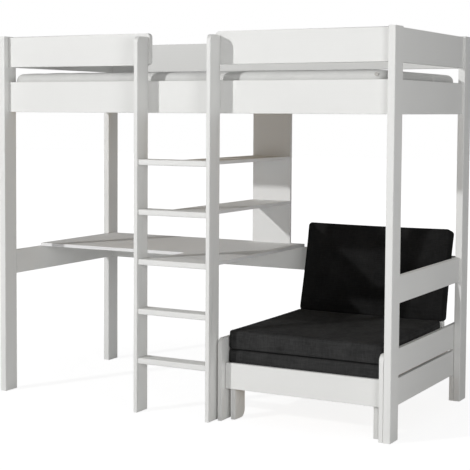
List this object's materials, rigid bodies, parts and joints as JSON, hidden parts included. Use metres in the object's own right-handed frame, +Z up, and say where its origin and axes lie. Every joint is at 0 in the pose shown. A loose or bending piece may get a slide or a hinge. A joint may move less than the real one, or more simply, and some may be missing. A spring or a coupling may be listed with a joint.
{
  "type": "loft bed",
  "caption": "High sleeper bed with guard rails, slatted base and mattress, a front ladder, and under it a desk with a shelf unit and a pull-out chair bed with loose cushions.",
  "frame": {"origin": "bottom centre of the bounding box of the whole object, on the floor", "axes": "X runs along the bed, to the right for someone who faces the ladder; Y runs from the ladder side to the wall side; Z is up"},
  "size_m": [2.092, 1.102, 1.786],
  "materials": {
    "white_lacquer": "white satin lacquer",
    "white_melamine": "white satin melamine",
    "bare_pine": "bare planed pine",
    "mattress_ticking": "white woven cover",
    "black_canvas": "black woven cover"
  },
  "bodies": {
    "bed": {"post_front_left": "white_lacquer", "post_front_right": "white_lacquer", "post_back_left": "white_lacquer", "post_back_right": "white_lacquer", "guard_end_left": "white_lacquer", "guard_end_right": "white_lacquer", "guard_back": "white_lacquer", "guard_front_left": "white_lacquer", "guard_front_right": "white_lacquer", "bed_rail_end_left": "white_lacquer", "bed_rail_end_right": "white_lacquer", "bed_rail_front": "white_lacquer", "bed_rail_back": "white_lacquer", "mid_rail_left": "white_lacquer", "mid_rail_right": "white_lacquer", "mid_rail_back": "white_lacquer", "slat_ledger_front": "bare_pine", "slat_ledger_back": "bare_pine", "slat_base": "bare_pine", "mattress": "mattress_ticking", "ladder_stile_left": "white_lacquer", "ladder_stile_right": "white_lacquer", "ladder_rung_1": "white_lacquer", "ladder_rung_2": "white_lacquer", "ladder_rung_3": "white_lacquer", "ladder_rung_4": "white_lacquer", "ladder_rung_5": "white_lacquer", "desk_top": "white_melamine", "shelf_back_panel": "white_melamine", "shelf_upper": "white_melamine", "shelf_lower": "white_melamine", "chair_leg_front_left": "white_lacquer", "chair_leg_front_right": "white_lacquer", "chair_leg_back_left": "white_lacquer", "chair_leg_back_right": "white_lacquer", "chair_side_upper_left": "white_lacquer", "chair_side_upper_right": "white_lacquer", "chair_side_lower_left": "white_lacquer", "chair_side_lower_right": "white_lacquer", "chair_back_rail": "white_lacquer", "chair_bar_front": "bare_pine", "chair_bar_back": "bare_pine", "chair_ledger_left": "bare_pine", "chair_ledger_right": "bare_pine", "chair_slat_1": "bare_pine", "chair_slat_2": "bare_pine", "chair_slat_3": "bare_pine", "chair_slat_4": "bare_pine", "chair_slat_5": "bare_pine", "seat_cushion_lower": "black_canvas", "seat_cushion_upper": "black_canvas"},
    "pull_out": {"pull_out_front_board": "white_lacquer", "pull_out_leg_left": "white_lacquer", "pull_out_leg_right": "white_lacquer", "pull_out_bar": "bare_pine", "pull_out_slat_1": "bare_pine", "pull_out_slat_2": "bare_pine", "pull_out_slat_3": "bare_pine", "pull_out_slat_4": "bare_pine"},
    "back_cushion": {"back_cushion": "black_canvas"}
  },
  "joints": [
    {"name": "chair_pull_out", "type": "slide", "parent": "bed", "child": "pull_out", "axis": [0, -1, 0], "range_m": [0, 0.82]},
    {"name": "back_cushion_tip", "type": "hinge", "parent": "bed", "child": "back_cushion", "pos_m": [0.609, 0.337, 0.41533], "axis": [1, 0, 0], "range_deg": [0, 100]}
  ]
}
